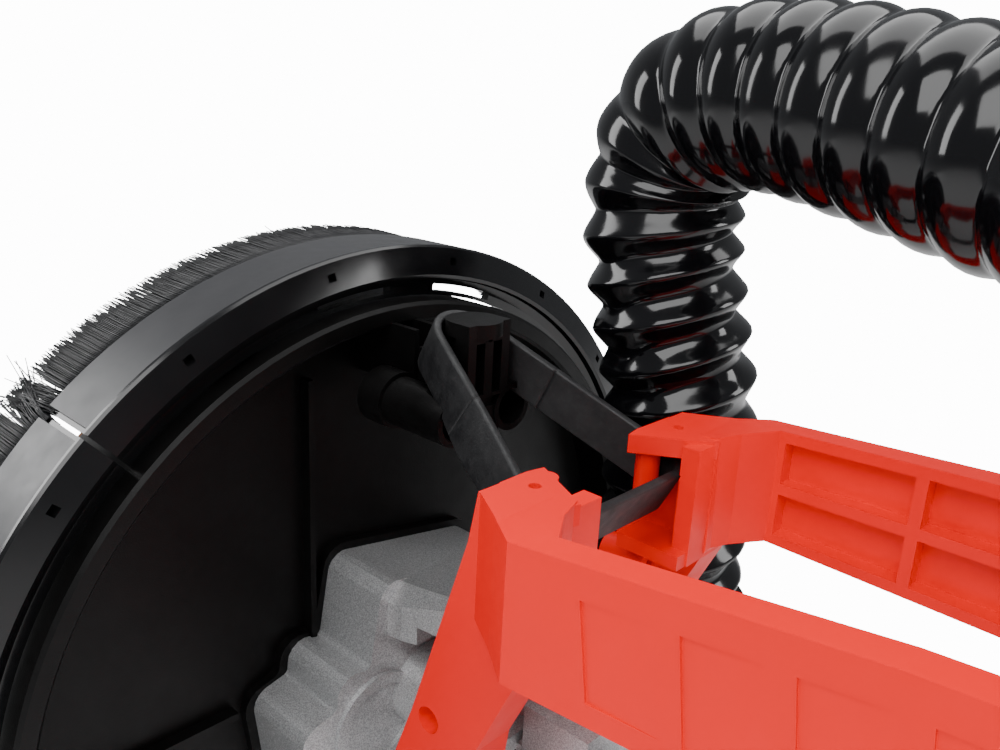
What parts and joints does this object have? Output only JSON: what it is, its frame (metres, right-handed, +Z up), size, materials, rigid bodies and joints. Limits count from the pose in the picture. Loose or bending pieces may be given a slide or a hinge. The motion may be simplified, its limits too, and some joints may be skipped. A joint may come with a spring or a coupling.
{
  "type": "long-reach drywall sander",
  "caption": "Long-reach drywall sander: round sanding head with a brush skirt on a two-axis gimbal, carried by a red fork on a pole with a rear motor, a ribbed dust hose and a rubber strap.",
  "frame": {"origin": "centre of the sanding pad's working face", "axes": "+X runs from the pad back along the pole, +Z is up, -X is the pad face's outward normal"},
  "size_m": [1.083, 0.27, 0.3395],
  "materials": {
    "shroud_plastic": "fine moulded texture",
    "ring_plastic": "polished moulding",
    "strip_plastic": "satin extrusion",
    "bristle": "nylon bristles",
    "cast_aluminium": "sand-textured casting",
    "red_plastic": "satin moulding",
    "strap_rubber": "dusty flat rubber",
    "rubber": "matt",
    "hose_pvc": "glossy ribbed hose",
    "black_plastic": "satin moulding",
    "steel": "turned",
    "bronze": "sintered",
    "pole_aluminium": "satin anodised",
    "foam": "closed-cell foam",
    "abrasive": "coated grit",
    "winding": "enamelled copper and laminations",
    "circuit": "solder mask"
  },
  "bodies": {
    "handle": {"fork_left": "red_plastic", "fork_right": "red_plastic", "pole_block": "red_plastic", "fork_screws": "steel", "rubber_strap": "strap_rubber", "flex_sleeve": "rubber", "flex_core": "steel", "dust_hose": "hose_pvc", "hose_clips": "black_plastic", "hose_cuff": "black_plastic", "pole_tube": "pole_aluminium", "pole_grip": "rubber", "housing_left": "red_plastic", "housing_right": "red_plastic", "housing_screws": "steel", "motor_stator": "winding", "motor_bearings": "steel", "brush_caps": "black_plastic", "control_board": "circuit", "cable_gland": "black_plastic", "dust_pipe": "black_plastic", "pitch_pins": "steel"},
    "gimbal": {"gimbal_frame": "cast_aluminium", "yaw_pins": "steel", "yaw_washers": "rubber", "pitch_washers": "rubber"},
    "head": {"shroud_housing": "shroud_plastic", "strap_hook": "shroud_plastic", "hook_screws": "steel", "gearbox_housing": "cast_aluminium", "gearbox_base": "cast_aluminium", "gearbox_screws": "steel", "output_bearing": "steel", "input_bearing": "steel", "counter_bearings": "bronze", "shaft_seal": "rubber", "dust_elbow": "shroud_plastic", "shaft_nut": "steel", "ring_springs": "steel"},
    "pad": {"output_shaft": "steel", "output_gear": "steel", "backing_plate": "black_plastic", "pad_foam": "foam", "abrasive_disc": "abrasive", "pad_bolt": "steel"},
    "countershaft": {"counter_shaft": "steel", "counter_gear": "steel"},
    "input_shaft": {"input_pinion": "steel"},
    "ring": {"brush_ring": "ring_plastic", "brush_strip": "strip_plastic", "bristles": "bristle", "ring_guide_pins": "steel"},
    "segment": {"ring_segment": "ring_plastic", "segment_strip": "strip_plastic", "segment_bristles": "bristle"},
    "rotor": {"rotor": "winding", "cooling_fan": "black_plastic"},
    "trigger": {"trigger": "black_plastic"},
    "lock_button": {"lock_button": "black_plastic"},
    "speed_dial": {"speed_dial": "black_plastic"}
  },
  "joints": [
    {"name": "head_pitch", "type": "hinge", "parent": "handle", "child": "gimbal", "pos_m": [0.103, 0, 0], "axis": [0, 1, 0], "range_deg": [-30, 15], "deforming": ["rubber_strap", "dust_hose", "flex_sleeve", "flex_core"]},
    {"name": "head_yaw", "type": "hinge", "parent": "gimbal", "child": "head", "pos_m": [0.103, 0, 0], "axis": [0, 0, 1], "range_deg": [-12, 12]},
    {"name": "pad_spin", "type": "hinge", "parent": "head", "child": "pad", "pos_m": [0, 0, 0], "axis": [1, 0, 0], "continuous": true},
    {"name": "countershaft_spin", "type": "hinge", "parent": "head", "child": "countershaft", "pos_m": [0.045, -0.01835, -0.00492], "axis": [1, 0, 0], "continuous": true},
    {"name": "input_spin", "type": "hinge", "parent": "head", "child": "input_shaft", "pos_m": [0.06, 0, 0], "axis": [1, 0, 0], "continuous": true},
    {"name": "rotor_spin", "type": "hinge", "parent": "handle", "child": "rotor", "pos_m": [0.85, 0, 0.089], "axis": [1, 0, 0], "continuous": true},
    {"name": "ring_float", "type": "slide", "parent": "head", "child": "ring", "axis": [1, 0, 0], "range_m": [0, 0.005], "stiffness_N_per_m": 900, "springref_m": -0.004, "deforming": ["ring_springs"]},
    {"name": "segment_pull", "type": "slide", "parent": "ring", "child": "segment", "axis": [0, -0.9542, 0.299], "range_m": [0, 0.03]},
    {"name": "trigger_pull", "type": "slide", "parent": "handle", "child": "trigger", "axis": [0, 0, 1], "range_m": [0, 0.005], "stiffness_N_per_m": 600, "springref_m": -0.003},
    {"name": "lock_push", "type": "slide", "parent": "handle", "child": "lock_button", "axis": [0, 1, 0], "range_m": [0, 0.003], "stiffness_N_per_m": 500, "springref_m": -0.001},
    {"name": "dial_turn", "type": "hinge", "parent": "handle", "child": "speed_dial", "pos_m": [1.032, 0, 0.1002], "axis": [0, 1, 0], "range_deg": [0, 270]}
  ],
  "couplings": [
    {"joint": "countershaft_spin", "follows": "pad_spin", "ratio": -2.1667},
    {"joint": "input_spin", "follows": "pad_spin", "ratio": 4.6944},
    {"joint": "rotor_spin", "follows": "pad_spin", "ratio": 4.6944}
  ]
}
